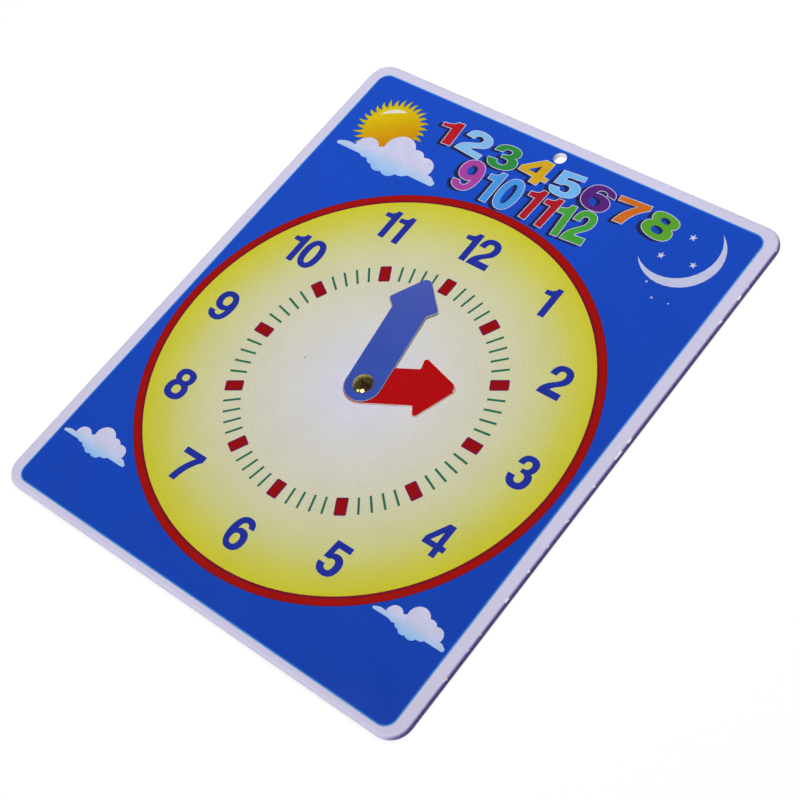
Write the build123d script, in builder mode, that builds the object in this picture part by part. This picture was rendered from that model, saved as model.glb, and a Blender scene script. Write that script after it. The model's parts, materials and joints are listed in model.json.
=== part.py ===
from build123d import *
import os

# Teaching clock: a printed board with two arrow hands that turn by hand about one rivet.
# The board lies on its back, +Z comes out of its face, +Y runs to twelve o'clock.
# The origin is the middle of the board's back. Lengths are in millimetres.

# Backing board, die-cut from white plastic sheet
board_width = 250.0
board_height = 300.0
board_thickness = 3.0
board_corner_radius = 11.0
front_edge_radius = 1.6
back_edge_chamfer = 0.4

# Hanging hole, punched through board and film, a little to the right of the middle
hanging_hole_radius = 3.5
hanging_hole_drop = 11.6
hanging_hole_x = 1.5

# Printed film on the front, and the white border that it leaves
side_border = 6.8
top_border = 6.2
bottom_border = 3.8
film_corner_radius = 6.3
film_thickness = 0.2

# Dial, printed on the film in layers of ink
ring_side_margin = 3.8
ring_bottom_margin = 13.5
ring_width = 4.8
ink_thickness = 0.05
hour_count = 12
ticks_between_hours = 4
mark_circle_radius = 65.0
mark_length = 9.3
mark_width = 5.9
mark_corner_radius = 0.8
tick_length = 8.8
tick_width = 1.15

# Hands: a plastic core with a printed film on top. Angles run clockwise from twelve o'clock.
core_thickness = 0.4
core_edge_chamfer = 0.12
hand_film_thickness = 0.1
hand_film_inset = 0.2
barb_radius = 1.5
tip_radius = 3.5
neck_radius = 0.8

minute_angle = -8.8
minute_point_reach = 66.2
minute_shaft_width = 19.2
minute_head_length = 17.4
minute_barb_overhang = 4.5
minute_barb_rise = 4.4

hour_angle = 63.2
hour_point_reach = 46.5
hour_shaft_width = 20.4
hour_head_length = 19.6
hour_barb_overhang = 7.0
hour_barb_rise = 1.1

# Rivet: a low round head in front, a hollow tail rolled over a washer in the back of the board
shank_radius = 2.5
rivet_head_radius = 5.2
rivet_rim_height = 0.3
rivet_dome_height = 1.2
rivet_rim_radius = 0.2
tail_bore_radius = 1.7
tail_bore_depth = 2.4
roll_overhang = 1.2
roll_height = 0.7
roll_edge_chamfer = 0.45
tail_inset = 0.2

# Washers on the rivet
face_washer_radius = 6.0
face_washer_thickness = 0.15
hand_washer_radius = 6.0
hand_washer_thickness = 0.15
back_washer_radius = 4.6
back_washer_thickness = 0.5

# Clearances
running_clearance = 0.08
end_play = 0.05
fixed_clearance = 0.1
recess_clearance = 0.4

# Places that follow from the sizes above
film_width = board_width - 2 * side_border
film_height = board_height - top_border - bottom_border
film_center_y = (bottom_border - top_border) / 2
hanging_hole_y = board_height / 2 - hanging_hole_drop
ring_outer_radius = film_width / 2 - ring_side_margin
dial_radius = ring_outer_radius - ring_width
pivot_y = bottom_border + ring_bottom_margin + ring_outer_radius - board_height / 2

film_top = board_thickness + film_thickness
dial_top = film_top + ink_thickness
hour_core_bottom = dial_top + face_washer_thickness + end_play
hour_core_top = hour_core_bottom + core_thickness
hand_washer_bottom = hour_core_top + hand_film_thickness + end_play
minute_core_bottom = hand_washer_bottom + hand_washer_thickness + end_play
minute_core_top = minute_core_bottom + core_thickness
rivet_head_bottom = minute_core_top + hand_film_thickness + end_play

roll_top = tail_inset + roll_height
recess_depth = roll_top + back_washer_thickness
recess_radius = back_washer_radius + recess_clearance
roll_radius = shank_radius + roll_overhang
bore_top = roll_top + tail_bore_depth
rim_top = rivet_head_bottom + rivet_rim_height
crown = rim_top + rivet_dome_height
fixed_hole_radius = shank_radius + fixed_clearance
hand_bore_radius = shank_radius + running_clearance

pivot_axis = Axis((0, pivot_y, 0), (0, 0, 1))
pivot_section = Plane((0, pivot_y, 0), x_dir=(1, 0, 0), z_dir=(0, -1, 0))
pivot_back = Plane((0, pivot_y, 0), z_dir=(0, 0, -1))


def pivot_plane(height, angle=0):
    # Plane on the rivet's axis, turned clockwise by the angle that a hand shows
    return Plane((0, pivot_y, height)).rotated((0, 0, -angle))


def hand_outline(point_reach, shaft_width, head_length, barb_overhang, barb_rise):
    # Arrow along +Y from the pivot: round end, parallel shaft, two barbs, blunt point
    half_shaft = shaft_width / 2
    half_head = half_shaft + barb_overhang
    barb_reach = point_reach - head_length
    neck_reach = barb_reach - barb_rise
    with BuildSketch() as outline:
        with BuildLine():
            arrow = Polyline(
                (-half_shaft, 0),
                (-half_shaft, neck_reach),
                (-half_head, barb_reach),
                (0, point_reach),
                (half_head, barb_reach),
                (half_shaft, neck_reach),
                (half_shaft, 0),
            )
            ThreePointArc(arrow @ 1, (0, -half_shaft), arrow @ 0)
        make_face()
        fillet(outline.vertices().group_by(Axis.Y)[-1], tip_radius)
        fillet(outline.vertices().group_by(Axis.X)[0], barb_radius)
        fillet(outline.vertices().group_by(Axis.X)[-1], barb_radius)
        fillet(outline.vertices().group_by(Axis.Y)[1], neck_radius)
    return outline.sketch


minute_outline = hand_outline(
    minute_point_reach, minute_shaft_width, minute_head_length, minute_barb_overhang, minute_barb_rise
)
hour_outline = hand_outline(
    hour_point_reach, hour_shaft_width, hour_head_length, hour_barb_overhang, hour_barb_rise
)

# Backing board, recessed at the back so that the rivet's tail stays clear of the table
with BuildPart() as backing_board:
    with BuildSketch():
        RectangleRounded(board_width, board_height, board_corner_radius)
    extrude(amount=board_thickness)
    fillet(backing_board.faces().sort_by(Axis.Z)[-1].edges(), front_edge_radius)
    chamfer(backing_board.faces().sort_by(Axis.Z)[0].edges(), back_edge_chamfer)
    with Locations((hanging_hole_x, hanging_hole_y, board_thickness)):
        Hole(hanging_hole_radius)
    with Locations(pivot_back.location):
        CounterBoreHole(fixed_hole_radius, recess_radius, recess_depth)

# Printed film, bonded to the front of the board
with BuildPart() as printed_face:
    with BuildSketch(Plane.XY.offset(board_thickness)):
        with Locations((0, film_center_y)):
            RectangleRounded(film_width, film_height, film_corner_radius)
        with Locations((hanging_hole_x, hanging_hole_y)):
            Circle(hanging_hole_radius, mode=Mode.SUBTRACT)
        with Locations((0, pivot_y)):
            Circle(fixed_hole_radius, mode=Mode.SUBTRACT)
    extrude(amount=film_thickness)

# Yellow ground of the dial
with BuildPart() as dial_ground:
    with BuildSketch(pivot_plane(film_top)):
        Circle(dial_radius)
        Circle(fixed_hole_radius, mode=Mode.SUBTRACT)
    extrude(amount=ink_thickness)

# Red ring round the dial
with BuildPart() as dial_ring:
    with BuildSketch(pivot_plane(film_top)):
        Circle(ring_outer_radius)
        Circle(dial_radius, mode=Mode.SUBTRACT)
    extrude(amount=ink_thickness)

# Red blocks at the hours
with BuildPart() as hour_marks:
    with BuildSketch(pivot_plane(dial_top)):
        with PolarLocations(mark_circle_radius, hour_count):
            RectangleRounded(mark_length, mark_width, mark_corner_radius)
    extrude(amount=ink_thickness)

# Green strokes at the minutes between them
tick_step = 360 / hour_count / (ticks_between_hours + 1)
with BuildPart() as minute_ticks:
    with BuildSketch(pivot_plane(dial_top)):
        for tick in range(ticks_between_hours):
            with PolarLocations(mark_circle_radius, hour_count, start_angle=tick_step * (tick + 1)):
                Rectangle(tick_length, tick_width)
    extrude(amount=ink_thickness)

# Washer that holds the hour hand off the print
with BuildPart() as face_washer:
    with BuildSketch(pivot_plane(dial_top)):
        Circle(face_washer_radius)
        Circle(fixed_hole_radius, mode=Mode.SUBTRACT)
    extrude(amount=face_washer_thickness)

# Hour hand
with BuildPart() as hour_hand:
    with BuildSketch(pivot_plane(hour_core_bottom, hour_angle)):
        add(hour_outline)
        Circle(hand_bore_radius, mode=Mode.SUBTRACT)
    extrude(amount=core_thickness)
    chamfer(hour_hand.faces().sort_by(Axis.Z)[-1].outer_wire().edges(), core_edge_chamfer)

with BuildPart() as hour_hand_film:
    with BuildSketch(pivot_plane(hour_core_top, hour_angle)):
        add(hour_outline)
        offset(amount=-hand_film_inset)
        Circle(hand_bore_radius, mode=Mode.SUBTRACT)
    extrude(amount=hand_film_thickness)

# Washer between the hands
with BuildPart() as hand_washer:
    with BuildSketch(pivot_plane(hand_washer_bottom)):
        Circle(hand_washer_radius)
        Circle(fixed_hole_radius, mode=Mode.SUBTRACT)
    extrude(amount=hand_washer_thickness)

# Minute hand
with BuildPart() as minute_hand:
    with BuildSketch(pivot_plane(minute_core_bottom, minute_angle)):
        add(minute_outline)
        Circle(hand_bore_radius, mode=Mode.SUBTRACT)
    extrude(amount=core_thickness)
    chamfer(minute_hand.faces().sort_by(Axis.Z)[-1].outer_wire().edges(), core_edge_chamfer)

with BuildPart() as minute_hand_film:
    with BuildSketch(pivot_plane(minute_core_top, minute_angle)):
        add(minute_outline)
        offset(amount=-hand_film_inset)
        Circle(hand_bore_radius, mode=Mode.SUBTRACT)
    extrude(amount=hand_film_thickness)

# Rivet: its half section, from the crown round the head and shank to the rolled tail and its bore
with BuildPart() as pivot_rivet:
    with BuildSketch(pivot_section) as section:
        with BuildLine():
            dome = TangentArc((0, crown), (rivet_head_radius, rim_top), tangent=(1, 0))
            Polyline(
                dome @ 1,
                (rivet_head_radius, rivet_head_bottom),
                (shank_radius, rivet_head_bottom),
                (shank_radius, roll_top),
                (roll_radius, roll_top),
                (roll_radius, tail_inset),
                (tail_bore_radius, tail_inset),
                (tail_bore_radius, bore_top),
                (0, bore_top),
                (0, crown),
            )
        make_face()
        fillet(section.vertices().group_by(Axis.X)[-1].sort_by(Axis.Y)[-1], rivet_rim_radius)
        chamfer(section.vertices().group_by(Axis.Y)[0], roll_edge_chamfer)
    revolve(axis=pivot_axis)

# Washer that the tail is rolled against
with BuildPart() as back_washer:
    with BuildSketch(pivot_plane(roll_top)):
        Circle(back_washer_radius)
        Circle(fixed_hole_radius, mode=Mode.SUBTRACT)
    extrude(amount=back_washer_thickness)

pieces = {
    "backing_board": backing_board,
    "printed_face": printed_face,
    "dial_ground": dial_ground,
    "dial_ring": dial_ring,
    "hour_marks": hour_marks,
    "minute_ticks": minute_ticks,
    "face_washer": face_washer,
    "hour_hand": hour_hand,
    "hour_hand_film": hour_hand_film,
    "hand_washer": hand_washer,
    "minute_hand": minute_hand,
    "minute_hand_film": minute_hand_film,
    "pivot_rivet": pivot_rivet,
    "back_washer": back_washer,
}
os.makedirs("parts", exist_ok=True)
for name, piece in pieces.items():
    piece.part.label = name
    export_step(piece.part, f"parts/{name}.step")
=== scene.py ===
import json
import math
import random

import bmesh
import bpy
from mathutils import Matrix, Quaternion, Vector
from mathutils.geometry import interpolate_bezier, tessellate_polygon


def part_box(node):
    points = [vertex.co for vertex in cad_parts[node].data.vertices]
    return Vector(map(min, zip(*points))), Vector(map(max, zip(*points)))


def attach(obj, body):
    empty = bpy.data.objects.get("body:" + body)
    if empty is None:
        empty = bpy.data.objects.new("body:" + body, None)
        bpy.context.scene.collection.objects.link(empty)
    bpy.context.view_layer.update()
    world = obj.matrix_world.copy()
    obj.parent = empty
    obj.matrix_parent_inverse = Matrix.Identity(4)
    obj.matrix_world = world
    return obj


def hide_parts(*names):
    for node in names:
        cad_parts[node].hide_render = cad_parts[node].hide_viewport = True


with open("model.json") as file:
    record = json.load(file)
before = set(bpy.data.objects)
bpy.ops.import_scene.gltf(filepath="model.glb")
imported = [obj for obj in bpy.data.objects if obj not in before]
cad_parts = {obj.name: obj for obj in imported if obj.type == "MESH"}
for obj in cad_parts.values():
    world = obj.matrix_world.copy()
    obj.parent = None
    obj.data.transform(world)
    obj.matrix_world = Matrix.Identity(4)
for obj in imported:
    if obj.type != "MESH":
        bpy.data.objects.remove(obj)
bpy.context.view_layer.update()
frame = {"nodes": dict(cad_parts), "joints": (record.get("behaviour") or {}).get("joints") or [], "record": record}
nodes = frame["nodes"]
scene = bpy.context.scene
scene.view_settings.view_transform = "Standard"

mm = 0.001
square = ((-1, -1), (1, -1), (1, 1), (-1, 1))  # a rectangle's corners
mixFrom, mixTo, mixResult = 6, 7, 2  # a Mix node's colour sockets
pivot = Vector(frame["joints"][0]["pos_m"])  # the rivet's axis
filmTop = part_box("printed_face")[1].z
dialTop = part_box("dial_ground")[1].z
print("frame loaded:", len(nodes), "nodes")


def hexToLinear(code):
    parts = [int(code[i:i + 2], 16) / 255 for i in (1, 3, 5)]
    return tuple(p / 12.92 if p <= 0.04045 else ((p + 0.055) / 1.055) ** 2.4 for p in parts) + (1.0,)


def addNode(tree, kind, settings=None, inputs=None):
    node = tree.nodes.new(kind)
    for name, value in (settings or {}).items():
        if name == "stops":  # a ramp's places and colours
            elements = node.color_ramp.elements
            elements.remove(elements[1])
            elements[0].position, elements[0].color = value[0][0], hexToLinear(value[0][1])
            for position, code in value[1:]:
                elements.new(position).color = hexToLinear(code)
        else:
            setattr(node, name, value)
    for socket, value in (inputs or {}).items():
        if isinstance(value, bpy.types.NodeSocket):
            tree.links.new(value, node.inputs[socket])
        else:
            node.inputs[socket].default_value = value
    return node


def showsBackground(tree):
    # 1 where the eye, a mirror or clear film looks at the background, and 0 for the light that it gives
    ray = addNode(tree, "ShaderNodeLightPath")
    seen = ray.outputs["Is Camera Ray"]
    for kind in ("Is Glossy Ray", "Is Transmission Ray"):
        seen = addNode(tree, "ShaderNodeMath", {"operation": "MAXIMUM"}, {0: seen, 1: ray.outputs[kind]}).outputs[0]
    return seen


# Camera: held by hand to the right of the board, leaning over
cameraSettings = {
    "lens": 76.07,
    "place": (0.40678, -0.26105, 0.64004),
    "target": (0.0203, -0.01591, 0.00325),
    "lean": -22.87,
}
camera = bpy.data.objects.new("camera", bpy.data.cameras.new("camera"))
scene.collection.objects.link(camera)
camera.data.lens = cameraSettings["lens"]
camera.location = cameraSettings["place"]
aim = Vector(cameraSettings["target"]) - camera.location
camera.rotation_mode = "QUATERNION"
camera.rotation_quaternion = aim.to_track_quat("-Z", "Y") @ Quaternion(
    (0, 0, 1), math.radians(cameraSettings["lean"])
)
scene.camera = camera
print("camera placed")

# Lamps: a soft lamp over the upper edge, a low one without shadows in front of the lower edge,
# and two panes that the rivet mirrors as glints
lampSettings = {
    "softLamp": {"place": (-0.05, 0.42, 0.9), "size": 0.35, "power": 6.35, "mirrored": False, "shadow": True},
    "lowLamp": {"place": (0.2, -2.1, 0.6), "size": 1.2, "power": 28, "mirrored": False, "shadow": False},
    "brightPane": {"place": (-0.1, -0.28, 0.9), "size": 0.24, "power": 1.4, "mirrored": True, "shadow": True},
    "dimPane": {"place": (-0.45, -0.43, 0.9), "size": 0.26, "power": 0.3, "mirrored": True, "shadow": True},
}
for name, setting in lampSettings.items():
    light = bpy.data.lights.new(name, "AREA")
    light.shape = "DISK"
    light.size = setting["size"]
    light.energy = setting["power"]
    light.use_shadow = setting["shadow"]
    lamp = bpy.data.objects.new(name, light)
    scene.collection.objects.link(lamp)
    lamp.location = setting["place"]
    lamp.rotation_mode = "QUATERNION"
    lamp.rotation_quaternion = (pivot - lamp.location).to_track_quat("-Z", "Y")
    lamp.visible_glossy = setting["mirrored"]

# Room: pale walls low down and a dim ceiling, which is what metal and gloss mirror
roomSettings = {
    "stops": [
        (0.0, "#EAEAEA"), (0.3, "#BABABA"), (0.5, "#929292"), (0.58, "#606060"),
        (0.76, "#5A5A5A"), (0.89, "#545454"), (0.925, "#482F4A"), (1.0, "#482F4A"),
    ],
    "fill": 0.35,
}
world = bpy.data.worlds.new("room")
scene.world = world
world.use_nodes = True
tree = world.node_tree
tree.nodes.clear()
level = addNode(
    tree, "ShaderNodeMapRange",
    inputs={"Value": showsBackground(tree), "To Min": roomSettings["fill"], "To Max": 1.0},
)
around = addNode(tree, "ShaderNodeTexCoord").outputs["Generated"]
compass = addNode(tree, "ShaderNodeSeparateXYZ", inputs={0: around})
walls = addNode(tree, "ShaderNodeValToRGB", {"stops": roomSettings["stops"]}, {0: compass.outputs["Z"]})
sky = addNode(tree, "ShaderNodeBackground", inputs={"Color": walls.outputs[0], "Strength": level.outputs[0]})
addNode(tree, "ShaderNodeOutputWorld", inputs={"Surface": sky.outputs[0]})

# Floor: white paper that keeps the board's soft shadow
floorSettings = {"size": 6.0, "drop": 0.0001, "paper": "#7C7C7C", "glow": 0.83}
floorMesh = bpy.data.meshes.new("floor")
half = floorSettings["size"] / 2
floorMesh.from_pydata([(half * x, half * y, -floorSettings["drop"]) for x, y in square], [], [(0, 1, 2, 3)])
floor = bpy.data.objects.new("floor", floorMesh)
scene.collection.objects.link(floor)
paper = bpy.data.materials.new("white paper floor")
paper.use_nodes = True
tree = paper.node_tree
tree.nodes.clear()
glow = addNode(
    tree, "ShaderNodeMath", {"operation": "MULTIPLY"},
    {0: showsBackground(tree), 1: floorSettings["glow"]},
)
white = addNode(tree, "ShaderNodeEmission", inputs={"Strength": glow.outputs[0]})
matt = addNode(tree, "ShaderNodeBsdfDiffuse", inputs={"Color": hexToLinear(floorSettings["paper"])})
both = addNode(tree, "ShaderNodeAddShader", inputs={0: white.outputs[0], 1: matt.outputs[0]})
addNode(tree, "ShaderNodeOutputMaterial", inputs={"Surface": both.outputs[0]})
floorMesh.materials.append(paper)
print("light and floor ready")


def startMaterial(name, **sockets):
    material = bpy.data.materials.new(name)
    material.use_nodes = True
    tree = material.node_tree
    tree.nodes.clear()
    shader = addNode(tree, "ShaderNodeBsdfPrincipled", inputs=sockets)
    addNode(tree, "ShaderNodeOutputMaterial", inputs={"Surface": shader.outputs[0]})
    place = addNode(tree, "ShaderNodeTexCoord").outputs["Object"]
    return material, tree, shader, place


# Patterns: how much detail noise has, and which of its values count as its lowest and highest
patternSettings = {"fine": 2.0, "rough": 4.0, "ragged": 3.0, "grainSpan": (0.3, 0.7), "smearSpan": (0.35, 0.7)}


def toneGrain(tree, place, colour, grains):
    # each grain is a size in mm and how far it lightens or darkens the tone. A print's own dots are
    # about 0.1 mm and wouldn't show, so the finest grain is drawn near 1 mm
    low, high = patternSettings["grainSpan"]
    for size, depth in grains:
        noise = addNode(
            tree, "ShaderNodeTexNoise",
            inputs={"Vector": place, "Scale": 1 / (size * mm), "Detail": patternSettings["fine"]},
        )
        level = addNode(
            tree, "ShaderNodeMapRange",
            inputs={
                "Value": noise.outputs[0], "From Min": low, "From Max": high,
                "To Min": 1 - depth, "To Max": 1 + depth,
            },
        )
        toned = addNode(tree, "ShaderNodeHueSaturation", inputs={"Value": level.outputs[0], "Color": colour})
        colour = toned.outputs[0]
    return colour


def surfaceFinish(tree, shader, place, finish):
    # smears are where fingers have dulled the gloss, the ripple is the surface's own unevenness
    smears = addNode(
        tree, "ShaderNodeTexNoise",
        inputs={"Vector": place, "Scale": 1 / (finish["smear"] * mm), "Detail": patternSettings["rough"]},
    )
    low, high = patternSettings["smearSpan"]
    dull = addNode(
        tree, "ShaderNodeMapRange",
        inputs={
            "Value": smears.outputs[0], "From Min": low, "From Max": high,
            "To Min": finish["gloss"][0], "To Max": finish["gloss"][1],
        },
    )
    tree.links.new(dull.outputs[0], shader.inputs["Roughness"])
    ripple = addNode(
        tree, "ShaderNodeTexNoise",
        inputs={"Vector": place, "Scale": 1 / (finish["ripple"] * mm), "Detail": patternSettings["fine"]},
    )
    bump = addNode(
        tree, "ShaderNodeBump",
        inputs={"Strength": finish["relief"], "Distance": finish["depth"] * mm, "Height": ripple.outputs[0]},
    )
    tree.links.new(bump.outputs[0], shader.inputs["Normal"])


def addSpecks(tree, place, colour, specks):
    # a cell of the pattern holds a speck only where its own random number is high
    cells = addNode(tree, "ShaderNodeTexVoronoi", inputs={"Vector": place, "Scale": 1 / (specks["spacing"] * mm)})
    dot = addNode(
        tree, "ShaderNodeMath", {"operation": "LESS_THAN"},
        {0: cells.outputs["Distance"], 1: specks["size"] / specks["spacing"] / 2},
    )
    pick = addNode(tree, "ShaderNodeSeparateColor", inputs={0: cells.outputs["Color"]})
    rare = addNode(
        tree, "ShaderNodeMath", {"operation": "GREATER_THAN"}, {0: pick.outputs[0], 1: 1 - specks["share"]}
    )
    mask = addNode(tree, "ShaderNodeMath", {"operation": "MULTIPLY"}, {0: dot.outputs[0], 1: rare.outputs[0]})
    faint = addNode(tree, "ShaderNodeMath", {"operation": "MULTIPLY"}, {0: mask.outputs[0], 1: specks["strength"]})
    mixed = addNode(
        tree, "ShaderNodeMix", {"data_type": "RGBA"},
        {0: faint.outputs[0], mixFrom: colour, mixTo: hexToLinear(specks["colour"])},
    )
    return mixed.outputs[mixResult]


def aboutAxis(tree, place, centre=pivot):
    # the way from an upright axis, and its length
    shifted = addNode(tree, "ShaderNodeVectorMath", {"operation": "SUBTRACT"}, {0: place, 1: centre})
    flat = addNode(tree, "ShaderNodeVectorMath", {"operation": "MULTIPLY"}, {0: shifted.outputs[0], 1: (1, 1, 0)})
    radius = addNode(tree, "ShaderNodeVectorMath", {"operation": "LENGTH"}, {0: flat.outputs[0]})
    return flat.outputs[0], radius.outputs["Value"]


def dress(name, material):
    nodes[name].data.materials.clear()
    nodes[name].data.materials.append(material)


# Laminated print: ink under a clear satin film, so all printed colours share one skin
laminate = {"ior": 1.5, "smear": 38, "gloss": (0.2, 0.3), "ripple": 3.0, "relief": 0.15, "depth": 0.02}
specks = {"spacing": 17, "size": 0.8, "share": 0.22, "strength": 0.75, "colour": "#3A2430"}

# Board: calendered rigid PVC sheet, die-cut. Satin lavender-white, with the hole's wall painted near white as painted
# light.
# Its right-facing edge is painted dark violet as painted shade, streaked across, with painted white highlights along
# its top
boardSettings = {
    "face": "#D3CFE9", "hole": "#FAF8FF", "holeRim": 5.0, "specular": 0.25,
    "paintedShade": "#523FA0", "turn": (0.25, 0.8),
    "streak": 0.7, "streakStretch": (1, 1, 0.08), "streakDepth": (0.7, 1.2),
    "highlightColour": "#FFFFFF", "highlightSize": 5, "highlightShare": (0.6, 0.64), "highlightBand": (2.5, 2.95), "highlightTurn": 0.1,
    "grains": [(0.8, 0.015), (45, 0.02)],
    "finish": {"smear": 30, "gloss": (0.32, 0.5), "ripple": 1.2, "relief": 0.2, "depth": 0.02},
}
material, tree, shader, place = startMaterial(
    "calendered white PVC sheet", **{"Specular IOR Level": boardSettings["specular"]}
)
height = addNode(tree, "ShaderNodeSeparateXYZ", inputs={0: place}).outputs["Z"]
# painted shade: the edge that faces +X is mixed towards dark violet as far as it turns that way, streaked across and
# kept off the hole
facing = addNode(tree, "ShaderNodeTexCoord").outputs["Normal"]
facing = addNode(tree, "ShaderNodeSeparateXYZ", inputs={0: facing}).outputs["X"]
low, high = boardSettings["turn"]
paintedShade = addNode(tree, "ShaderNodeMapRange", inputs={"Value": facing, "From Min": low, "From Max": high})
streaks = addNode(
    tree, "ShaderNodeVectorMath", {"operation": "MULTIPLY"}, {0: place, 1: boardSettings["streakStretch"]}
)
streaks = addNode(
    tree, "ShaderNodeTexNoise", inputs={"Vector": streaks.outputs[0], "Scale": 1 / (boardSettings["streak"] * mm)}
)
low, high = boardSettings["streakDepth"]
streaks = addNode(tree, "ShaderNodeMapRange", inputs={"Value": streaks.outputs[0], "To Min": low, "To Max": high})
paintedShade = addNode(
    tree, "ShaderNodeMath", {"operation": "MULTIPLY", "use_clamp": True},
    {0: paintedShade.outputs[0], 1: streaks.outputs[0]},
)
# painted light: within the hole's rim the wall is near white so that it looks lit, and the painted shade is kept off
# it
radius = aboutAxis(tree, place, Vector(frame["record"]["mounts"][0]["pos_m"]))[1]
outer = addNode(tree, "ShaderNodeMath", {"operation": "GREATER_THAN"}, {0: radius, 1: boardSettings["holeRim"] * mm})
paintedShade = addNode(tree, "ShaderNodeMath", {"operation": "MULTIPLY"}, {0: paintedShade.outputs[0], 1: outer.outputs[0]})
colour = addNode(
    tree, "ShaderNodeMix", {"data_type": "RGBA"},
    {0: outer.outputs[0], mixFrom: hexToLinear(boardSettings["hole"]), mixTo: hexToLinear(boardSettings["face"])},
).outputs[mixResult]
colour = addNode(
    tree, "ShaderNodeMix", {"data_type": "RGBA"},
    {0: paintedShade.outputs[0], mixFrom: colour, mixTo: hexToLinear(boardSettings["paintedShade"])},
).outputs[mixResult]
# painted highlights: white spots in a band along the top of the right-facing edge, where it would glint
low, high = boardSettings["highlightBand"]
band = addNode(
    tree, "ShaderNodeMath", {"operation": "COMPARE"},
    {0: height, 1: (low + high) / 2 * mm, 2: (high - low) / 2 * mm},
)
paintedHighlights = addNode(
    tree, "ShaderNodeTexNoise",
    inputs={"Vector": place, "Scale": 1 / (boardSettings["highlightSize"] * mm), "Detail": patternSettings["ragged"]},
)
low, high = boardSettings["highlightShare"]
paintedHighlights = addNode(tree, "ShaderNodeMapRange", inputs={"Value": paintedHighlights.outputs[0], "From Min": low, "From Max": high})
paintedHighlights = addNode(tree, "ShaderNodeMath", {"operation": "MULTIPLY"}, {0: band.outputs[0], 1: paintedHighlights.outputs[0]})
right = addNode(tree, "ShaderNodeMath", {"operation": "GREATER_THAN"}, {0: facing, 1: boardSettings["highlightTurn"]})
paintedHighlights = addNode(tree, "ShaderNodeMath", {"operation": "MULTIPLY"}, {0: paintedHighlights.outputs[0], 1: right.outputs[0]})
colour = addNode(
    tree, "ShaderNodeMix", {"data_type": "RGBA"},
    {0: paintedHighlights.outputs[0], mixFrom: colour, mixTo: hexToLinear(boardSettings["highlightColour"])},
).outputs[mixResult]
colour = toneGrain(tree, place, colour, boardSettings["grains"])
tree.links.new(colour, shader.inputs["Base Color"])
surfaceFinish(tree, shader, place, boardSettings["finish"])
dress("backing_board", material)

# Panel: blue print that bleeds out pale along its rounded edge, and greys towards the lower right, partly painted
# shade and partly the print's own drift
panelLow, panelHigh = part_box("printed_face")
panelSettings = {
    "corner": 6.3, "bleed": 1.5,
    "stops": [(0.0, "#184DC7"), (0.4, "#1C53CC"), (0.72, "#5599EA"), (0.88, "#7FB5F0"), (1.0, "#B6CCF0")],
    "slope": (-0.555, 0.832, 0), "span": 185, "shade": "#BFDDE4",
    "grains": [(1.1, 0.06), (30, 0.03)],
}
material, tree, shader, place = startMaterial("blue print on vinyl, laminated", IOR=laminate["ior"])
middle = (panelLow + panelHigh) / 2
inner = (panelHigh - panelLow) / 2 - Vector((1, 1, 1)) * panelSettings["corner"] * mm
side = addNode(tree, "ShaderNodeVectorMath", {"operation": "SUBTRACT"}, {0: place, 1: middle})
side = addNode(tree, "ShaderNodeVectorMath", {"operation": "ABSOLUTE"}, {0: side.outputs[0]})
side = addNode(tree, "ShaderNodeVectorMath", {"operation": "SUBTRACT"}, {0: side.outputs[0], 1: inner})
side = addNode(tree, "ShaderNodeVectorMath", {"operation": "MAXIMUM"}, {0: side.outputs[0], 1: (0, 0, 0)})
side = addNode(tree, "ShaderNodeVectorMath", {"operation": "MULTIPLY"}, {0: side.outputs[0], 1: (1, 1, 0)})
reach = addNode(tree, "ShaderNodeVectorMath", {"operation": "LENGTH"}, {0: side.outputs[0]})
edge = addNode(
    tree, "ShaderNodeMapRange",
    inputs={
        "Value": reach.outputs["Value"],
        "From Min": (panelSettings["corner"] - panelSettings["bleed"]) * mm,
        "From Max": panelSettings["corner"] * mm,
    },
)
colour = addNode(tree, "ShaderNodeValToRGB", {"stops": panelSettings["stops"]}, {0: edge.outputs[0]}).outputs[0]
# partly painted shade: the blue darkens from the board's upper left to its lower right
slope = addNode(tree, "ShaderNodeVectorMath", {"operation": "DOT_PRODUCT"}, {0: place, 1: panelSettings["slope"]})
shade = addNode(
    tree, "ShaderNodeMapRange",
    inputs={
        "Value": slope.outputs["Value"],
        "From Min": panelSettings["span"] * mm, "From Max": -panelSettings["span"] * mm,
    },
)
colour = addNode(
    tree, "ShaderNodeMix", {"data_type": "RGBA", "blend_type": "MULTIPLY"},
    {0: shade.outputs[0], mixFrom: colour, mixTo: hexToLinear(panelSettings["shade"])},
).outputs[mixResult]
colour = toneGrain(tree, place, colour, panelSettings["grains"])
colour = addSpecks(tree, place, colour, specks)
tree.links.new(colour, shader.inputs["Base Color"])
surfaceFinish(tree, shader, place, laminate)
dress("printed_face", material)

# Dial: yellow ink sprayed from the rim, so it fades to nearly white in the middle
dialSettings = {
    "radius": 109.6,
    "stops": [
        (0.1, "#D8D6E6"), (0.28, "#D8D6D5"), (0.5, "#D5D3BE"), (0.68, "#D3D2A7"),
        (0.8, "#D0D089"), (0.9, "#CFCD58"), (1.0, "#CEC92C"),
    ],
    "grains": [(1.1, 0.05), (22, 0.02)],
}
material, tree, shader, place = startMaterial("yellow sprayed ink, laminated", IOR=laminate["ior"])
radius = aboutAxis(tree, place)[1]
share = addNode(tree, "ShaderNodeMapRange", inputs={"Value": radius, "From Max": dialSettings["radius"] * mm})
colour = addNode(tree, "ShaderNodeValToRGB", {"stops": dialSettings["stops"]}, {0: share.outputs[0]}).outputs[0]
colour = toneGrain(tree, place, colour, dialSettings["grains"])
colour = addSpecks(tree, place, colour, specks)
tree.links.new(colour, shader.inputs["Base Color"])
surfaceFinish(tree, shader, place, laminate)
dress("dial_ground", material)

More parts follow.
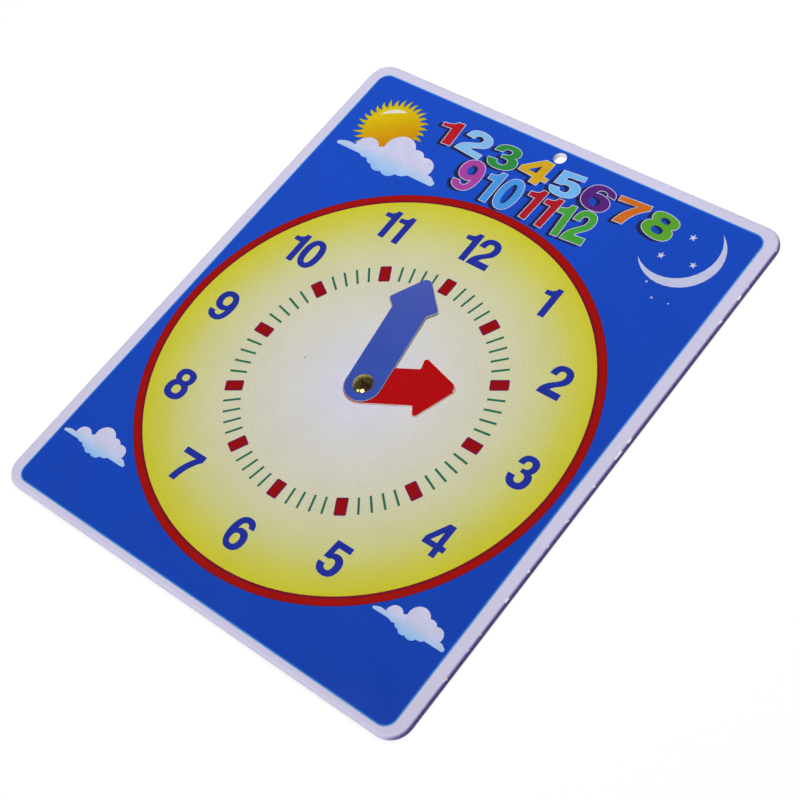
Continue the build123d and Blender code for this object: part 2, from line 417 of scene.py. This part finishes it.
# Ring: red ink with a maroon keyline on its inner edge and a thin one outside
ringSettings = {
    "inside": 109.6, "outside": 114.4,
    "stops": [
        (0.0, "#740A2C"), (0.19, "#760A28"), (0.29, "#A00803"), (0.6, "#A10A02"),
        (0.88, "#9F0803"), (0.98, "#790414"), (1.0, "#6F041A"),
    ],
    "grains": [(0.8, 0.05), (18, 0.04)],
}
material, tree, shader, place = startMaterial("red screen ink with keylines, laminated", IOR=laminate["ior"])
radius = aboutAxis(tree, place)[1]
share = addNode(
    tree, "ShaderNodeMapRange",
    inputs={"Value": radius, "From Min": ringSettings["inside"] * mm, "From Max": ringSettings["outside"] * mm},
)
colour = addNode(tree, "ShaderNodeValToRGB", {"stops": ringSettings["stops"]}, {0: share.outputs[0]}).outputs[0]
colour = toneGrain(tree, place, colour, ringSettings["grains"])
tree.links.new(colour, shader.inputs["Base Color"])
surfaceFinish(tree, shader, place, laminate)
dress("dial_ring", material)

# Hour marks: red ink blocks, each with a maroon keyline all round
markSettings = {
    "circle": 65.0, "length": 9.3, "width": 5.9, "keyline": 0.7, "blur": 0.25,
    "red": "#950507", "maroon": "#780E46", "grains": [(0.8, 0.06), (7, 0.05)],
}
halfHour = math.tau / 24  # from a mark's middle to half way to the next
material, tree, shader, place = startMaterial("red block ink with keyline, laminated", IOR=laminate["ior"])
flat, radius = aboutAxis(tree, place)
parts = addNode(tree, "ShaderNodeSeparateXYZ", inputs={0: flat})
angle = addNode(tree, "ShaderNodeMath", {"operation": "ARCTAN2"}, {0: parts.outputs["X"], 1: parts.outputs["Y"]})
angle = addNode(tree, "ShaderNodeMath", {"operation": "WRAP"}, {0: angle.outputs[0], 1: halfHour, 2: -halfHour})
borders = []
sides = (("SINE", 0, markSettings["width"]), ("COSINE", markSettings["circle"], markSettings["length"]))
for operation, middle, size in sides:
    turned = addNode(tree, "ShaderNodeMath", {"operation": operation}, {0: angle.outputs[0]})
    run = addNode(tree, "ShaderNodeMath", {"operation": "MULTIPLY"}, {0: radius, 1: turned.outputs[0]})
    run = addNode(tree, "ShaderNodeMath", {"operation": "SUBTRACT"}, {0: run.outputs[0], 1: middle * mm})
    run = addNode(tree, "ShaderNodeMath", {"operation": "ABSOLUTE"}, {0: run.outputs[0]})
    run = addNode(tree, "ShaderNodeMath", {"operation": "SUBTRACT"}, {0: run.outputs[0], 1: size / 2 * mm})
    borders.append(run.outputs[0])
border = addNode(tree, "ShaderNodeMath", {"operation": "MAXIMUM"}, {0: borders[0], 1: borders[1]})
keyline = addNode(
    tree, "ShaderNodeMapRange",
    inputs={
        "Value": border.outputs[0],
        "From Min": -(markSettings["keyline"] + markSettings["blur"]) * mm, "From Max": -markSettings["keyline"] * mm,
    },
)
colour = addNode(
    tree, "ShaderNodeMix", {"data_type": "RGBA"},
    {0: keyline.outputs[0], mixFrom: hexToLinear(markSettings["red"]), mixTo: hexToLinear(markSettings["maroon"])},
).outputs[mixResult]
colour = toneGrain(tree, place, colour, markSettings["grains"])
tree.links.new(colour, shader.inputs["Base Color"])
surfaceFinish(tree, shader, place, laminate)
dress("hour_marks", material)


def plainMaterial(name, code, grains, finish=laminate):
    # one colour all over, with a fine tooth, a slow drift of tone and a finish
    material, tree, shader, place = startMaterial(name, IOR=finish["ior"])
    tree.links.new(toneGrain(tree, place, hexToLinear(code), grains), shader.inputs["Base Color"])
    surfaceFinish(tree, shader, place, finish)
    return material


print("printed layers dressed")

# Hands: glossy coloured vinyl on white sheet. The film's tone drifts along the hand and its tip is chipped
handSettings = {
    "hour_hand": {
        "name": "red gloss vinyl", "film": "hour_hand_film", "angle": 63.2, "reach": 46.5,
        "stops": [(0.0, "#B3030A"), (1.0, "#B20208")], "chip": (0.9, "#CFC8CE"), "grains": [(1.0, 0.03), (14, 0.03)],
    },
    "minute_hand": {
        "name": "blue gloss vinyl", "film": "minute_hand_film", "angle": -8.8, "reach": 66.2,
        "stops": [(0.0, "#3751AE"), (0.45, "#3D53AE"), (1.0, "#4959B2")], "chip": (0.35, "#B9B6CE"),
        "grains": [(0.9, 0.04), (14, 0.04)],
    },
}
chipSettings = {"size": 1.3, "wander": 1.2, "fade": (1.9, 1.6)}
gloss = {"ior": 1.52, "smear": 11, "gloss": (0.16, 0.28), "ripple": 2.2, "relief": 0.2, "depth": 0.02}
for setting in handSettings.values():
    material, tree, shader, place = startMaterial(setting["name"], IOR=gloss["ior"])
    flat = aboutAxis(tree, place)[0]
    bearing = math.radians(setting["angle"])
    along = addNode(
        tree, "ShaderNodeVectorMath", {"operation": "DOT_PRODUCT"},
        {0: flat, 1: (math.sin(bearing), math.cos(bearing), 0)},
    ).outputs["Value"]
    share = addNode(tree, "ShaderNodeMapRange", inputs={"Value": along, "From Max": setting["reach"] * mm})
    colour = addNode(tree, "ShaderNodeValToRGB", {"stops": setting["stops"]}, {0: share.outputs[0]}).outputs[0]
    colour = toneGrain(tree, place, colour, setting["grains"])
    chipSize, chipCode = setting["chip"]
    ragged = addNode(
        tree, "ShaderNodeTexNoise",
        inputs={"Vector": place, "Scale": 1 / (chipSettings["size"] * mm), "Detail": patternSettings["ragged"]},
    )
    wander = chipSettings["wander"] * mm
    ragged = addNode(
        tree, "ShaderNodeMapRange", inputs={"Value": ragged.outputs[0], "To Min": -wander, "To Max": wander}
    )
    chipped = addNode(tree, "ShaderNodeMath", {"operation": "ADD"}, {0: along, 1: ragged.outputs[0]})
    low, high = [(setting["reach"] - fade - chipSize) * mm for fade in chipSettings["fade"]]
    chipped = addNode(
        tree, "ShaderNodeMapRange", inputs={"Value": chipped.outputs[0], "From Min": low, "From Max": high}
    )
    colour = addNode(
        tree, "ShaderNodeMix", {"data_type": "RGBA"},
        {0: chipped.outputs[0], mixFrom: colour, mixTo: hexToLinear(chipCode)},
    ).outputs[mixResult]
    tree.links.new(colour, shader.inputs["Base Color"])
    surfaceFinish(tree, shader, place, gloss)
    dress(setting["film"], material)

# Cores: white sheet seen only at its punched edge, toned darker than white as painted shade, and pinkish on the hour
# hand
coreSettings = {
    # painted shade: both edge tones are darker than the white sheet, the minute hand's most
    "hour_hand": "#DDC0BC", "minute_hand": "#B4B2BC", "grains": [(0.6, 0.06), (6, 0.05)],
    "finish": {"ior": 1.53, "smear": 8, "gloss": (0.4, 0.55), "ripple": 0.7, "relief": 0.3, "depth": 0.03},
}
for hand in handSettings:
    edging = plainMaterial(
        "punched PVC edge, painted shade", coreSettings[hand], coreSettings["grains"], coreSettings["finish"]
    )
    dress(hand, edging)

# Washers: moulded nylon, milky, with a dull skin
nylonSettings = {
    "code": "#E0DED8", "grains": [(0.5, 0.03), (5, 0.03)],
    "finish": {"ior": 1.53, "smear": 5, "gloss": (0.38, 0.5), "ripple": 0.6, "relief": 0.25, "depth": 0.02},
}
nylon = plainMaterial(
    "moulded natural nylon", nylonSettings["code"], nylonSettings["grains"], nylonSettings["finish"]
)
for washer in ("face_washer", "hand_washer"):
    dress(washer, nylon)

# Rivet: tumbled brass, tarnished from handling. Yellow where it mirrors the wall, brown where the
# tarnish is thick, with a dark dot in the middle
brassSettings = {
    "bright": "#C9B96A", "tarnish": "#8A6448", "blotch": 1.6, "reach": (0.46, 0.72),
    "darkDot": (0.4, 0.6), "dotColour": "#3A2626",
    "finish": {"smear": 1.4, "gloss": (0.07, 0.15), "ripple": 0.9, "relief": 0.06, "depth": 0.02},
}
material, tree, shader, place = startMaterial("tarnished tumbled brass", Metallic=1.0)
blotches = addNode(
    tree, "ShaderNodeTexNoise",
    inputs={"Vector": place, "Scale": 1 / (brassSettings["blotch"] * mm), "Detail": patternSettings["rough"]},
)
low, high = brassSettings["reach"]
tarnish = addNode(
    tree, "ShaderNodeMapRange", inputs={"Value": blotches.outputs[0], "From Min": low, "From Max": high}
)
colour = addNode(
    tree, "ShaderNodeMix", {"data_type": "RGBA"},
    {
        0: tarnish.outputs[0],
        mixFrom: hexToLinear(brassSettings["bright"]), mixTo: hexToLinear(brassSettings["tarnish"]),
    },
).outputs[mixResult]
radius = aboutAxis(tree, place)[1]
# a dark dot in the middle of the head
low, high = brassSettings["darkDot"]
darkDot = addNode(tree, "ShaderNodeMapRange", inputs={"Value": radius, "From Min": high * mm, "From Max": low * mm})
colour = addNode(
    tree, "ShaderNodeMix", {"data_type": "RGBA"},
    {0: darkDot.outputs[0], mixFrom: colour, mixTo: hexToLinear(brassSettings["dotColour"])},
).outputs[mixResult]
tree.links.new(colour, shader.inputs["Base Color"])
surfaceFinish(tree, shader, place, brassSettings["finish"])
for piece in ("pivot_rivet", "back_washer"):
    dress(piece, material)
print("hands and rivet dressed")

# Outlines: how full a quarter oval is, the turn in degrees and the points in which curves are drawn,
# the gap in mm at which an outline closes, and how far a sharp corner may run out
outlineSettings = {"fullness": 0.62, "arcTurn": 11, "fewest": 3, "points": 10, "closed": 0.01, "sharpest": 0.5}


def tracePath(path):
    # M starts, L runs straight, C is a cubic, B an arc by its bulge to the left,
    # h and v are quarter ovals that leave level or upright
    words = path.split()
    fullness = outlineSettings["fullness"]
    points = []
    while words:
        letter = words.pop(0)
        numbers = [float(words.pop(0)) for _ in range({"B": 3, "C": 6}.get(letter, 2))]
        end = Vector(numbers[-2:])
        if letter in "ML":
            points.append(end)
            continue
        start = points[-1]
        if letter == "B":
            bulge = numbers[0]
            chord = end - start
            left = Vector((-chord.y, chord.x)).normalized()
            radius = chord.length * (1 + bulge * bulge) / (4 * bulge)
            centre = (start + end) / 2 + left * (bulge * chord.length / 2 - radius)
            sweep = 4 * math.atan(bulge)
            arcTurn = math.radians(outlineSettings["arcTurn"])
            steps = max(outlineSettings["fewest"], math.ceil(abs(sweep) / arcTurn))
            for i in range(1, steps + 1):
                points.append(centre + Matrix.Rotation(-sweep * i / steps, 2) @ (start - centre))
            continue
        if letter == "C":
            first, second = Vector(numbers[0:2]), Vector(numbers[2:4])
        else:
            corner = Vector((end.x, start.y)) if letter == "h" else Vector((start.x, end.y))
            first, second = start.lerp(corner, fullness), end.lerp(corner, fullness)
        points += interpolate_bezier(start, first, second, end, outlineSettings["points"])[1:]
    if (points[0] - points[-1]).length < outlineSettings["closed"]:
        points.pop()
    return points


def grown(points, amount):
    # moves an outline along its corners' normals, outwards when the amount is positive
    area = sum(a.cross(b) for a, b in zip(points, points[1:] + points[:1]))
    side = math.copysign(amount, area)
    moved = []
    for before, here, after in zip(points[-1:] + points[:-1], points, points[1:] + points[:1]):
        first, second = (here - before).normalized(), (after - here).normalized()
        normal = Vector((first.y + second.y, -first.x - second.x))
        moved.append(here + normal * side / max(outlineSettings["sharpest"], normal.length_squared / 2))
    return moved


def inkPiece(name, figures, place, top, material, bottom=filmTop):
    # thin closed solids of ink: each figure is an outline in mm and then its holes
    mesh = bpy.data.meshes.new(name)
    shape = bmesh.new()
    for loops in figures:
        upper = [shape.verts.new((p.x * mm, p.y * mm, top - bottom)) for loop in loops for p in loop]
        lower = [shape.verts.new((p.x * mm, p.y * mm, 0)) for loop in loops for p in loop]
        for corners in tessellate_polygon([[p.to_3d() for p in loop] for loop in loops]):
            shape.faces.new([upper[i] for i in corners])
            shape.faces.new([lower[i] for i in reversed(corners)])
        first = 0
        for loop in loops:
            for i in range(len(loop)):
                a, b = first + i, first + (i + 1) % len(loop)
                shape.faces.new((lower[a], lower[b], upper[b], upper[a]))
            first += len(loop)
    bmesh.ops.recalc_face_normals(shape, faces=shape.faces)
    loose = sum(len(edge.link_faces) != 2 for edge in shape.edges)
    shape.to_mesh(mesh)
    shape.free()
    mesh.materials.append(material)
    piece = bpy.data.objects.new(name, mesh)
    scene.collection.objects.link(piece)
    piece.location = (pivot.x + place[0] * mm, pivot.y + place[1] * mm, bottom)
    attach(piece, "board")
    if loose:
        print("open edges on", name, loose)
    return piece


inkLayer = 0.012 * mm  # the height of one colour pass


def inkTop(passes):
    # each colour pass lies on the ones before it
    return filmTop + passes * inkLayer


# Minute strokes: green ink, four between two hour marks, which stand closer to each other than to the marks
strokeSettings = {
    "ink": "#2B6D55", "circle": 65.0, "length": 8.8, "width": 1.15, "hourTurn": 30, "places": (7.2, 12.4, 17.6, 22.8),
    "grains": [(0.8, 0.08), (9, 0.06)],
}
strokes = []
reach = Vector((strokeSettings["width"], strokeSettings["length"])) / 2
corners = [Vector((reach.x * x, strokeSettings["circle"] + reach.y * y)) for x, y in square]
for hour in range(12):
    for degrees in strokeSettings["places"]:
        turn = Matrix.Rotation(-math.radians(strokeSettings["hourTurn"] * hour + degrees), 2)
        strokes.append([[turn @ corner for corner in corners]])
strokeLow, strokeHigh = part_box("minute_ticks")
strokeInk = plainMaterial("green line ink, laminated", strokeSettings["ink"], strokeSettings["grains"])
strokePiece = inkPiece("minute_strokes", strokes, (0, 0), strokeHigh.z, strokeInk, strokeLow.z)
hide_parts("minute_ticks")
print("minute strokes placed")

# Figures: a bold grotesque, 17.5 mm high from the baseline
figurePaths = {
    "0": ["M 0.2 8.8 v 6.25 17.7 h 12.3 8.8 v 6.25 -0.2 h 0.2 8.8", "M 4 8.8 v 6.2 14.6 h 8.4 8.8 v 6.2 2.9 h 4 8.8"],
    "1": ["M 0 11.9 L 4.1 11.9 L 4.1 0 L 7.8 0 L 7.8 17.5 L 4.9 17.5 C 4.5 15.5 3.2 14.6 0 14.5"],
    "2": [
        "M 0.1 11.3 v 5.9 17.8 h 11.7 12.3 C 11.7 7.4 6.6 6.8 5.2 3.7 L 11.8 3.7 L 11.8 0 L 0 0"
        " C 0 7.8 8 7.6 8 12.5 v 6 14.7 h 3.8 12.2 L 3.7 11.3"
    ],
    "3": [
        "M 0.6 12.2 v 5.8 17.9 h 11.1 13.3 C 11.1 11.7 10.8 10.7 9.8 9.8 C 11.2 9 11.9 7.5 11.9 5.6 v 6 -0.2 h 0 5.9"
        " L 3.7 5.9 v 5.9 3 h 8.1 5.8 v 5.2 8.3 L 4.5 8.3 L 4.5 10.5 L 5.2 10.5 h 7.7 12.8 v 5.9 14.9 h 3.9 12.2"
    ],
    "4": [
        "M 6.9 0 L 10.1 0 L 10.1 4 L 12.3 4 L 12.3 6.9 L 10.1 6.9 L 10.1 17.5 L 6.4 17.5 L 0.2 7.3 L 0.2 4 L 6.9 4",
        "M 3.3 6.9 L 6.9 6.9 L 6.9 12.8",
    ],
    "5": [
        "M 1.6 17.5 L 11.1 17.5 L 11.1 14.3 L 4.5 14.3 L 4.1 11 C 5 11.6 5.9 11.8 6.7 11.8 h 11.8 6.2 v 6 -0.2 h 0 5.2"
        " L 3.7 5.2 v 6 2.9 h 8 5.8 v 6 8.7 C 5 8.7 4.3 8.4 3.9 7.8 L 0.7 7.8"
    ],
    "6": [
        "M 0.1 8.4 v 6.2 17.8 h 11.4 13 L 8.2 13 v 6.3 14.7 C 4.6 14.7 4.1 12.6 4 10.7 C 4.8 11.5 5.6 11.8 6.7 11.8"
        " h 11.9 6 v 6.1 -0.2 h 0.1 8.4",
        "M 3.8 5.8 v 6 8.7 h 8.2 5.8 v 6 2.9 h 3.8 5.8",
    ],
    "7": ["M 0 14 L 0 17.4 L 12.7 17.4 L 12.7 14.1 C 9.3 10.7 7.2 6.2 6.4 0 L 2.6 0 C 3.2 5.6 5 10 8.2 14"],
    "8": [
        "M 2.2 9.9 C 1.2 10.8 0.7 12 0.7 13.5 v 6.3 17.9 h 11.9 13.5 C 11.9 12 11.4 10.8 10.4 9.9"
        " C 11.8 8.9 12.5 7.3 12.5 5.4 v 6.3 -0.2 h 0.1 5.4 C 0.1 7.3 0.8 8.9 2.2 9.9",
        "M 4.3 13 v 6.3 14.9 h 8.3 13 v 6.3 11.1 h 4.3 13",
        "M 3.9 5.6 v 6.3 8.1 h 8.7 5.6 v 6.3 3.1 h 3.9 5.6",
    ],
    "9": [
        "M 12.5 9.4 v 6.3 -0.2 h 0.4 4.6 L 4.1 4.6 v 6.1 2.9 C 7.8 2.9 8.5 4.8 8.6 6.8 C 7.8 6.1 6.8 5.9 5.7 5.9"
        " h 0.1 11.8 v 6.2 17.8 h 12.5 9.4",
        "M 3.8 11.8 v 6.1 14.6 h 8.5 11.8 v 6.1 9 h 3.8 11.8",
    ],
}


def numberOutlines(number, gap, scale=(1, 1), turn=0):
    # the outlines of each of its figures, centred together
    figures = []
    reach = 0
    for figure in str(number):
        traced = [tracePath(path) for path in figurePaths[figure]]
        left = min(p.x for p in traced[0])
        figures.append([[p + Vector((reach - left, 0)) for p in loop] for loop in traced])
        reach += max(p.x for p in traced[0]) - left + gap
    tall = [p.y for figure in figures for p in figure[0]]
    middle = Vector((reach - gap, min(tall) + max(tall))) / 2
    fit = Matrix.Rotation(math.radians(turn), 2) @ Matrix(((scale[0], 0), (0, scale[1])))
    return [[[fit @ (p - middle) for p in loop] for loop in figure] for figure in figures]


# Dial numbers: flat blue ink, upright round the dial
numberSettings = {
    "ink": "#20309B", "thickness": 0.03, "gap": 1.0, "grains": [(0.8, 0.06), (10, 0.05)],
    "places": {
        12: (0, 90.4), 1: (47.5, 82), 2: (78.3, 47.6), 3: (93.2, 0.8), 4: (81, -45.8), 5: (46.7, -78.8),
        6: (0, -92), 7: (-46.7, -78.8), 8: (-81, -45.8), 9: (-93.2, 0.8), 10: (-78.3, 47.6), 11: (-47.5, 82),
    },
}
numberInk = plainMaterial("blue figure ink, laminated", numberSettings["ink"], numberSettings["grains"])
numberTop = dialTop + numberSettings["thickness"] * mm
for number, place in numberSettings["places"].items():
    outlines = numberOutlines(number, numberSettings["gap"])
    inkPiece(f"dial_number_{number}", outlines, place, numberTop, numberInk, dialTop)
print("dial numbers placed")

# Figures along the top: two rows of plain numbers in many colours, with a pale edge and a dark shadow
rowSettings = {
    "edge": 0.36, "gap": 1.7, "shadow": (-1.8, -1.4), "grains": [(0.8, 0.06), (9, 0.06)],
    "edgeInk": "#C9CBEA", "shadowInk": "#1D2450",
    "figures": [
        (1, (-60.5, 144.3), (1.45, 0.86), 4, "#B81825"), (2, (-43, 144.8), (1.35, 0.86), -5, "#86BDEA"),
        (3, (-23.8, 144.2), (1.4, 0.86), 6, "#2E8C3C"), (4, (-4.3, 144.8), (1.45, 0.86), -4, "#D3A81E"),
        (5, (14.8, 144.2), (1.35, 0.86), 5, "#70B7EE"), (6, (33, 144.6), (1.4, 0.86), -6, "#57217C"),
        (7, (51.6, 144.4), (1.35, 0.86), 4, "#CF6C1C"), (8, (69.6, 144.6), (1.35, 0.86), -8, "#5BA32F"),
        (9, (-33.2, 126.2), (1.1, 1.1), 3, "#A9429F"), (10, (-12.6, 125.8), (1.0, 1.12), 0, "#4795E0"),
        (11, (10, 126.2), (1.05, 1.1), -3, "#AE1726"), (12, (31, 125.8), (1.0, 1.12), 4, "#44A03A"),
    ],
}
edgeInk = plainMaterial("pale edge ink, laminated", rowSettings["edgeInk"], rowSettings["grains"])
shadowInk = plainMaterial("navy shadow ink, laminated", rowSettings["shadowInk"], rowSettings["grains"])
rimWidth = rowSettings["edge"]
for number, place, scale, turn, code in rowSettings["figures"]:
    outlines = numberOutlines(number, rowSettings["gap"], scale, turn)
    rim = [[grown(loop, -rimWidth if i else rimWidth) for i, loop in enumerate(figure)] for figure in outlines]
    dark = (place[0] + rowSettings["shadow"][0], place[1] + rowSettings["shadow"][1])
    inkPiece(f"row_shadow_{number}", rim, dark, inkTop(1), shadowInk)
    inkPiece(f"row_edge_{number}", rim, place, inkTop(2), edgeInk)
    rowInk = plainMaterial(f"row ink {code[1:]}, laminated", code, rowSettings["grains"])
    inkPiece(f"row_number_{number}", outlines, place, inkTop(3), rowInk)
print("top rows placed")


def fadeInk(name, stops, grains, towards=(0, 1)):
    # a colour that fades across its piece, from one side of its box to the other
    material, tree, shader, place = startMaterial(name, IOR=laminate["ior"])
    middle = Vector((0.5, 0.5, 0))
    spread = addNode(tree, "ShaderNodeTexCoord").outputs["Generated"]
    spread = addNode(tree, "ShaderNodeVectorMath", {"operation": "SUBTRACT"}, {0: spread, 1: middle})
    spread = addNode(
        tree, "ShaderNodeVectorMath", {"operation": "DOT_PRODUCT"}, {0: spread.outputs[0], 1: (*towards, 0)}
    )
    spread = addNode(tree, "ShaderNodeMath", {"operation": "ADD"}, {0: spread.outputs["Value"], 1: middle.x})
    colour = addNode(tree, "ShaderNodeValToRGB", {"stops": stops}, {0: spread.outputs[0]}).outputs[0]
    tree.links.new(toneGrain(tree, place, colour, grains), shader.inputs["Base Color"])
    surfaceFinish(tree, shader, place, laminate)
    return material


def aroundCircle(count):
    # directions at even steps, clockwise from the top
    angles = [i * math.tau / count for i in range(count)]
    return [Vector((math.sin(angle), math.cos(angle))) for angle in angles]


# Sun: a golden disc on a fringe of short hooked rays, lit from the upper left
sunSettings = {
    "place": (-89.6, 132), "disc": 15.2, "discSteps": 72, "lean": 40,
    "rays": 31, "rise": ((0, 14.6), (0.2, 16.2), (0.36, 17.8)), "tips": (19.2, 21), "tipShare": 0.74,
    "fall": ((0.68, 18.2), (0.74, 16.4)), "seed": 7, "olive": 0.3,
    "shinePath": "M -7.4 10.4 B 0.37 7.4 10.4 B -0.04 -7.4 10.4", "shineLean": 30,
    "discStops": [(0.08, "#C98206"), (0.4, "#D39C04"), (0.7, "#D8B404"), (1.0, "#DCC608")],
    "rayStops": [(0.0, "#CE9A06"), (1.0, "#D6C010")], "oliveInk": "#7C9030", "shine": "#E9E2D2",
    "grains": [(0.8, 0.05), (6, 0.05)],
}
dice = random.Random(sunSettings["seed"])
fringe = []
step = math.tau / sunSettings["rays"]
for ray in range(sunSettings["rays"]):
    tip = dice.uniform(*sunSettings["tips"])
    for share, distance in (*sunSettings["rise"], (sunSettings["tipShare"], tip), *sunSettings["fall"]):
        angle = (ray + share) * step
        fringe.append(Vector((math.sin(angle), math.cos(angle))) * distance)
disc = [p * sunSettings["disc"] for p in aroundCircle(sunSettings["discSteps"])]
lit = Matrix.Rotation(math.radians(sunSettings["lean"]), 2) @ Vector((0, 1))
lean = Matrix.Rotation(math.radians(sunSettings["shineLean"]), 2)
shine = [lean @ p for p in tracePath(sunSettings["shinePath"])]
inkPiece(
    "sun_fringe", [[grown(fringe, sunSettings["olive"])]], sunSettings["place"], inkTop(1),
    plainMaterial("olive edge ink, laminated", sunSettings["oliveInk"], sunSettings["grains"]),
)
inkPiece(
    "sun_rays", [[fringe]], sunSettings["place"], inkTop(2),
    fadeInk("golden ray ink, laminated", sunSettings["rayStops"], sunSettings["grains"], lit),
)
inkPiece(
    "sun_disc", [[disc]], sunSettings["place"], inkTop(3),
    fadeInk("golden fade ink, laminated", sunSettings["discStops"], sunSettings["grains"], lit),
)
inkPiece(
    "sun_shine", [[shine]], sunSettings["place"], inkTop(4),
    plainMaterial("pale shine ink, laminated", sunSettings["shine"], sunSettings["grains"]),
)

# Clouds: white heaps with a level base and blunt tails, blue underneath
cloudSettings = {
    "path": (
        "M -31.6 -1 B 0.8 -30.8 1.4 B 0.2 -22 2.6 B 0.85 -9.4 7 B 0.12 -6.8 8.6 B 0.9 9.6 14.6 B 0.4 17 12.4"
        " B 0.7 25.6 4 B 0.3 30.6 2.4 B 0.85 31.2 -1 L 16 -1 B 0.3 10 -3.2 B 0.5 1.4 -5.2 B 0.45 -6 -4"
        " B 0.35 -10.6 -1.4 B 0.3 -16 -1"
    ),
    "places": {"sun_cloud": (-78.3, 112, 1.0), "left_cloud": (-94.6, -95.4, 0.65), "right_cloud": (96.1, -87, 0.61)},
    "stops": [(0.0, "#8ABAF0"), (0.25, "#AECBF0"), (0.46, "#CCCEEC"), (1.0, "#D2D2EC")],
    "grains": [(0.8, 0.04), (8, 0.06)],
}
cloudInk = fadeInk("white cloud ink over blue, laminated", cloudSettings["stops"], cloudSettings["grains"])
heap = tracePath(cloudSettings["path"])
for name, (x, y, size) in cloudSettings["places"].items():
    inkPiece(name, [[[p * size for p in heap]]], (x, y), inkTop(5), cloudInk)

# Night corner: a thin crescent, small five-point stars and a few specks of light
nightSettings = {
    "moon": ((84.3, 139.3), "M 14.3 14.7 B 1.2 -14.3 -14.7 B -0.93 14.3 14.7", "#C2C6E4"),
    "stars": [
        (87, 146, 2.1), (79.4, 130.2, 2.1), (95.8, 132.4, 2.0),
        (82, 114.2, 0.8), (89.2, 107.6, 0.85), (98, 108.4, 0.6),
    ],
    "starInk": "#C9CDE8", "starPoints": 5, "starWaist": 0.42, "grains": [(0.8, 0.05), (7, 0.05)],
}
place, path, code = nightSettings["moon"]
moonInk = plainMaterial("silver moon ink, laminated", code, nightSettings["grains"])
inkPiece("moon", [[tracePath(path)]], place, inkTop(1), moonInk)
starInk = plainMaterial("silver star ink, laminated", nightSettings["starInk"], nightSettings["grains"])
rays = aroundCircle(2 * nightSettings["starPoints"])
for i, (x, y, size) in enumerate(nightSettings["stars"]):
    corners = [ray * size * (1, nightSettings["starWaist"])[k % 2] for k, ray in enumerate(rays)]
    inkPiece(f"star_{i + 1}", [[corners]], (x, y), inkTop(1), starInk)
print("pictures placed")
